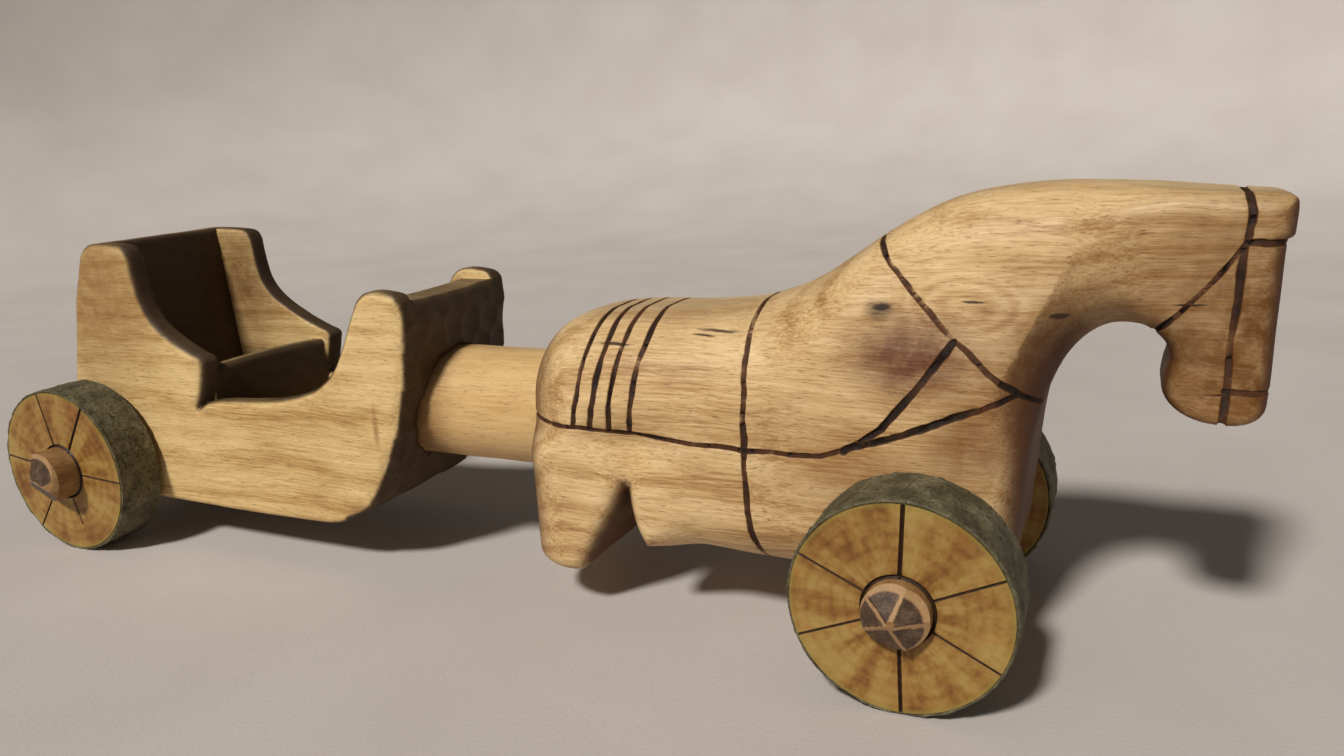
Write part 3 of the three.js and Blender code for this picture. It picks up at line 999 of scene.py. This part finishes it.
def peg_tree():
    """A peg with a domed head, whittled flat along each seed's way."""
    w = Workshop("whittled_peg", Radius=0.0075, Start=0.045, End=0.052, Foot=0.012, Shank=0.005,
                 Drop=0.002, Wood=None, Flat=None)  # fmt: skip
    start, end, foot = w.given("Start"), w.given("End"), w.given("Foot")
    head = w.make("GeometryNodeMeshCylinder", {"fill_type": "TRIANGLE_FAN"}, {
        "Vertices": 72, "Side Segments": 4, "Fill Segments": 12, "Radius": w.given("Radius"),
        "Depth": end - start})  # fmt: skip
    place = w.make("GeometryNodeInputPosition")
    share = w.length(w.stretch(place, (1, 1, 0))) / w.given("Radius")
    on_top = (w.part(place, "Z") / (end - start)).between(0.49, 0.499)
    drop = (share.power(2) * 0.55 + share.power(8) * 0.45) * w.given("Drop") * on_top
    head = w.moved(w.pushed(head, w.vector(z=drop * -1)), w.vector(z=(start + end) * 0.5))
    lifted = w.pushed(w.kept(w.given("Geometry"), "way", "FLOAT_VECTOR", place),
                      w.vector(z=end - FLATS_BELOW * MM))  # fmt: skip
    way = w.read("way", "FLOAT_VECTOR")
    turn = w.make("FunctionNodeAlignRotationToVector", {"axis": "Z"}, {"Vector": way})
    knife = w.moved(w.make("GeometryNodeMeshCube", None, {"Size": (0.03, 0.03, 0.02)}), (0, 0, 0.01))
    flats = w.make("GeometryNodeInstanceOnPoints", None, {
        "Points": lifted, "Instance": w.painted(knife, "Flat"), "Rotation": turn})  # fmt: skip
    head = w.less(w.painted(head, "Wood"), flats)
    overlap = 0.001  # of the shank in the head
    shank = w.drum(48, w.given("Shank"), start - foot + overlap)
    shank = w.painted(w.moved(shank, w.vector(z=(start + foot + overlap) * 0.5)), "Wood")
    both = {"operation": "UNION", "solver": "EXACT"}
    return w.end(w.make("GeometryNodeMeshBoolean", both, {"Mesh 2": [shank, head]}))


# ---------------------------------------------------------------- the pieces


def point_round(angle, reach, height=0.0):
    """A point in metres, from an angle in degrees round +Z and a reach and a height in mm."""
    way = math.radians(angle)
    return math.cos(way) * reach * MM, math.sin(way) * reach * MM, height * MM


def place_beside(axle, side, middle=0.0):
    """Puts a piece built along +Z on its axle: side is -1 for right and 1 for left."""
    x, z = axle
    return Matrix((
        (-side, 0, 0, x * MM),
        (0, 0, side, side * middle * MM),
        (0, 1, 0, z * MM),
        (0, 0, 0, 1),
    ))  # fmt: skip


def hand_in(piece, node, body, materials=()):
    """Hides the CAD node that the piece stands in for, hangs the piece on what it moves with and gives it
    what it is made of.
    """
    for material in materials:
        piece.data.materials.append(material)
    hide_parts(node)
    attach(piece, body)


HORSE_TONES = rgb(232, 202, 152), rgb(206, 170, 118), rgb(154, 110, 60)
CARRIAGE_TONES = rgb(234, 204, 146), rgb(210, 176, 118), rgb(164, 120, 66)
BAR_TONES = rgb(222, 186, 130), rgb(200, 160, 104), rgb(162, 116, 64)

# a stain or a painted shade is its middle, its reach, its colour and its strength, and a crack or a knot
# is the first two
horse_piece, _ = sculpt("carved_horse", horse, HORSE_LOW - 3, HORSE_HIGH + 3, 1.3, HORSE_CUTS)
horse_wood = carved_wood("horse_wood", (4, 60), HORSE_TONES, rgb(80, 42, 16), stains_and_shade=[
    ((112, -23, 75), (22, 18, 15), rgb(88, 36, 10), 0.95),
    ((104.4, -24, 85.5), (5.5, 8, 3.6), rgb(46, 28, 16), 1.0),
    ((184, -13, 78), (52, 34, 54), rgb(106, 64, 18), 1.0),
    ((144, -16, 68), (34, 26, 36), rgb(104, 62, 18), 1.0),
    ((124, -24, 56), (14, 14, 12), rgb(120, 72, 26), 0.8),
    ((104, -26, 46), (30, 16, 16), rgb(150, 100, 48), 0.6),
    ((6, -22, 66), (9, 40, 30), rgb(150, 104, 56), 0.7),
    ((34, -10, 82), (60, 22, 5), rgb(146, 114, 82), 0.55),
], cracks=[
    ((63.4, -24, 78.2), (9.4, 12, 0.62)),
    ((60, -24, 77.0), (4.6, 12, 0.4)),
    ((37, -24, 74.4), (5.5, 12, 0.45)),
    ((104.5, -24, 86), (2.6, 12, 1.1)),
    ((124.3, -18, 87.6), (3.2, 12, 0.35)),
    ((141.7, -18, 84.8), (2.6, 12, 0.9)),
    ((166.3, -14, 87), (4, 12, 0.35)),
], knots=[((123, -18, 86.5), (18, 24, 10))])
hand_in(horse_piece, "horse_body", "chassis", [horse_wood])

carriage_piece, carriage_points = sculpt(
    "carved_carriage", carriage, CARRIAGE_LOW - 3, CARRIAGE_HIGH + 3, 1.3, dark_top=0.74,
    crisp=lambda x, y, z: gouge_marks(x, y, z)[1] > 0.1,
)  # fmt: skip
ridge = gouge_marks(*carriage_points.T)[1] * (carriage_points[:, 2] < 86)
ridge_mask = carriage_piece.data.attributes.new("ridge", "FLOAT", "POINT")
ridge_mask.data.foreach_set("value", ridge)
carriage_wood = carved_wood("carriage_wood", (-2, 40), CARRIAGE_TONES, rgb(44, 26, 14), stains_and_shade=[
    ((-152, -26, 84), (44, 60, 42), rgb(144, 104, 56), 0.85),
    # darker inner face of the far cheek: partly painted shade inside the seat, partly oil
    ((-134, 22, 80), (26, 9, 34), rgb(112, 76, 38), 1.0),
    ((-40, -26, 47), (1.6, 14, 9), rgb(140, 92, 40), 0.7),
])
hand_in(carriage_piece, "carriage_body", "chassis", [carriage_wood])


def bar(x, y, z):
    radius = BAR_RADIUS - 0.15 + 0.12 * wobble(x, y, z, 22, 61)
    return rod(y, z - BAR_Z, radius, x, BAR_LOW[0], BAR_HIGH[0])


bar_piece, _ = sculpt("round_bar", bar, BAR_LOW - 2, BAR_HIGH + 2, 1.4)
bar_wood = carved_wood("bar_wood", (3, 45), BAR_TONES, rgb(96, 62, 34), stains_and_shade=[
    # painted shadow: the dashboard's shadow, darkening the bar's end next to it
    ((-34, 0, 50), (17, 60, 60), rgb(104, 64, 24), 1.0),
], streaks=0.8)
hand_in(bar_piece, "drawbar", "chassis", [bar_wood])

cut_wood = plain_wood("cut_line", rgb(70, 44, 20), rgb(34, 20, 10), 0.8, 0.6)
peg_rim = plain_wood("peg_rim", rgb(166, 130, 84), rgb(124, 88, 50), 0.5, 0.45, (1, 0.3, 1))

RIM = 34  # reach of a spoke line that runs past the rim
# every spoke line is its angle in degrees, its reach in mm and its width against the widest
SPOKES = {
    "front_right": [(88, RIM, 1.0), (25, RIM, 0.62), (333, RIM, 0.55), (272, RIM, 0.9), (203, RIM, 0.6),
                    (155, RIM, 0.55)],
    "rear_right": [(103, RIM, 0.7), (57, RIM, 1.0), (357, RIM, 0.6), (285, 18.4, 0.6), (232, RIM, 0.62),
                   (173, RIM, 0.6)],
    "front_left": [(92, RIM, 0.9), (31, RIM, 0.6), (338, RIM, 0.6), (268, RIM, 0.8), (214, RIM, 0.6),
                   (150, RIM, 0.6)],
    "rear_left": [(80, RIM, 0.8), (24, RIM, 0.6), (326, RIM, 0.7), (262, RIM, 0.6), (204, RIM, 0.8),
                  (146, RIM, 0.6)],
}  # fmt: skip
# every flat whittled on a peg's head is the way it faces, its lean from the axle and its distance
FLATS = {
    "front": [(105, 32, 10.6), (172, 31, 10.7), (249, 33, 10.5), (328, 31, 10.6), (37, 31, 10.7)],
    "rear": [(75, 14, 11.3), (250, 34, 10.3), (160, 40, 10.6)],
}
# the light ridges left between the flats, as angles round the head
RIDGES = {"front": [71, 140, 204, 294, 3], "rear": [166, 340]}
slices, barks, pegs = slice_tree(), bark_tree(), peg_tree()
BARK_THICK = 0.8
BORE = 5.45  # radius of the hole that a wheel turns on
WIDEST_CUT = 0.72
HEAD_PLAY = 0.3  # between a wheel's face and the head that holds it on
HEAD_DOME = 2.2  # how far a head's top falls toward its rim

for number, (wheel, spokes) in enumerate(SPOKES.items()):
    end, side_name = wheel.split("_")
    side = 1 if side_name == "left" else -1
    body = wheel + "_wheel"
    disc_low, disc_high = corners_mm(wheel + "_wheel_disc")
    bark_low, bark_high = corners_mm(wheel + "_wheel_bark")
    peg_low, peg_high = corners_mm(wheel + "_axle_peg")
    peg_ends = sorted((abs(peg_low[1]), abs(peg_high[1])))
    axle = axle_of(wheel + "_wheel_bark")
    bark_radius = (bark_high[0] - bark_low[0]) / 2
    disc_radius = bark_radius - BARK_THICK
    head_radius = (peg_high[0] - peg_low[0]) / 2
    half = (disc_high[1] - disc_low[1]) / 2
    middle = abs(disc_high[1] + disc_low[1]) / 2

    wood = slice_wood(wheel + "_slice", axle, disc_radius, number * 3.7 + 1)
    seeds = [(*point_round(angle, reach), width) for angle, reach, width in spokes]
    mesh = grown(wheel + "_slice", slices, seeds, {
        "Radius": disc_radius * MM, "Half": half * MM, "Bore": BORE * MM, "Hub": (head_radius + 0.3) * MM,
        "Depth": WIDEST_CUT * MM, "Wood": wood, "Cut": cut_wood,
    }, place_beside(axle, side, middle))  # fmt: skip
    hand_in(finish_mesh(wheel + "_slice", mesh), wheel + "_wheel_disc", body)

    skin = bark_skin(wheel + "_bark", axle, disc_radius + 0.05, number * 2.3 + 1)
    mesh = grown(wheel + "_bark", barks, [(0, 0, 0)], {
        "Radius": bark_radius * MM, "Half": (half - 0.05) * MM, "Thick": (BARK_THICK - 0.03) * MM,
        "Seed": number * 0.31, "Bark": skin,
    }, place_beside(axle, side, middle))  # fmt: skip
    hand_in(finish_mesh(wheel + "_bark", mesh), wheel + "_wheel_bark", body)

    seeds = []
    for angle, lean, distance in FLATS[end]:
        tilt = math.radians(lean)
        seeds.append(point_round(angle, math.sin(tilt) * distance, math.cos(tilt) * distance))
    mesh = grown(wheel + "_peg", pegs, seeds, {
        "Radius": head_radius * MM, "Start": (middle + half + HEAD_PLAY) * MM, "End": peg_ends[1] * MM,
        "Foot": peg_ends[0] * MM, "Drop": HEAD_DOME * MM, "Wood": peg_rim,
        "Flat": whittled(wheel + "_flats", axle, side, head_radius, RIDGES[end]),
    }, place_beside(axle, side))  # fmt: skip
    hand_in(finish_mesh(wheel + "_peg", mesh, angle=11), wheel + "_axle_peg", "chassis")

for mesh in [m for m in bpy.data.meshes if m.users == 0]:
    bpy.data.meshes.remove(mesh)


# ---------------------------------------------------------------- floor, light and camera


def cloth_floor():
    """A pale floor that turns up into a bowl, so that no edge of it is seen."""
    sides = 96
    profile = [(300, 0), (750, 0), (900, 10), (1050, 45), (1170, 110), (1250, 200), (1280, 380)]
    turns = [360 * i / sides for i in range(sides)]
    points = [point_round(turn, radius, height) for radius, height in profile for turn in turns]
    faces = [list(range(sides))]
    for first in range(0, len(points) - sides, sides):
        for i in range(sides):
            a, b = first + i, first + (i + 1) % sides
            faces.append([a, a + sides, b + sides, b])
    mesh = bpy.data.meshes.new("floor")
    mesh.from_pydata(points, [], faces)
    floor = finish_mesh("floor", mesh)
    p = Paint("floor_cloth")
    weave = p.noise(p.mm, 0.9, detail=3)
    soft = p.noise(p.mm, 0.012, detail=3)
    colour = p.mix(rgb(204, 197, 190), rgb(184, 175, 168), soft)
    # painted light: the floor glows on the side with its back to the sun, where the sun doesn't reach
    unlit = (p.part(p.mm, "Y") * -1).between(860, 1060)
    glow = p.mix((0, 0, 0), colour, unlit * 0.62)  # so the side with its back to the sun isn't dark
    floor.data.materials.append(p.finish(colour, 0.9 + weave * 0.05, weave, 0.1, glow=glow))


cloth_floor()

scene = bpy.context.scene
scene.view_settings.view_transform = "Standard"
world = bpy.data.worlds.new("soft_room")
world.use_nodes = True
background = world.node_tree.nodes["Background"].inputs
background["Color"].default_value = (1.0, 0.985, 0.97, 1)
background["Strength"].default_value = 0.075
scene.world = world

# the sun shines down at 47 degrees, from the right side of the toy and a little from behind
level, down = math.cos(math.radians(47)), math.sin(math.radians(47))
travel = Vector((0.17 * level, 0.98 * level, -down))
key = bpy.data.objects.new("key_light", bpy.data.lights.new("key_light", "SUN"))
key.data.energy = 3.05
key.data.angle = math.radians(8)
key.data.color = (1.0, 0.97, 0.93)
key.rotation_euler = travel.to_track_quat("-Z", "Y").to_euler()
scene.collection.objects.link(key)

camera = bpy.data.objects.new("camera", bpy.data.cameras.new("camera"))
camera.data.lens = 27.43
camera.data.sensor_width = 36
camera.data.clip_start = 0.01
stand = Matrix.Translation((0.1567, -0.2449, 0.1291))
for angle, axis in ((25.03, "Z"), (90 - 14.26, "X"), (-2.70, "Z")):
    stand = stand @ Matrix.Rotation(math.radians(angle), 4, axis)
camera.matrix_world = stand
scene.collection.objects.link(camera)
scene.camera = camera
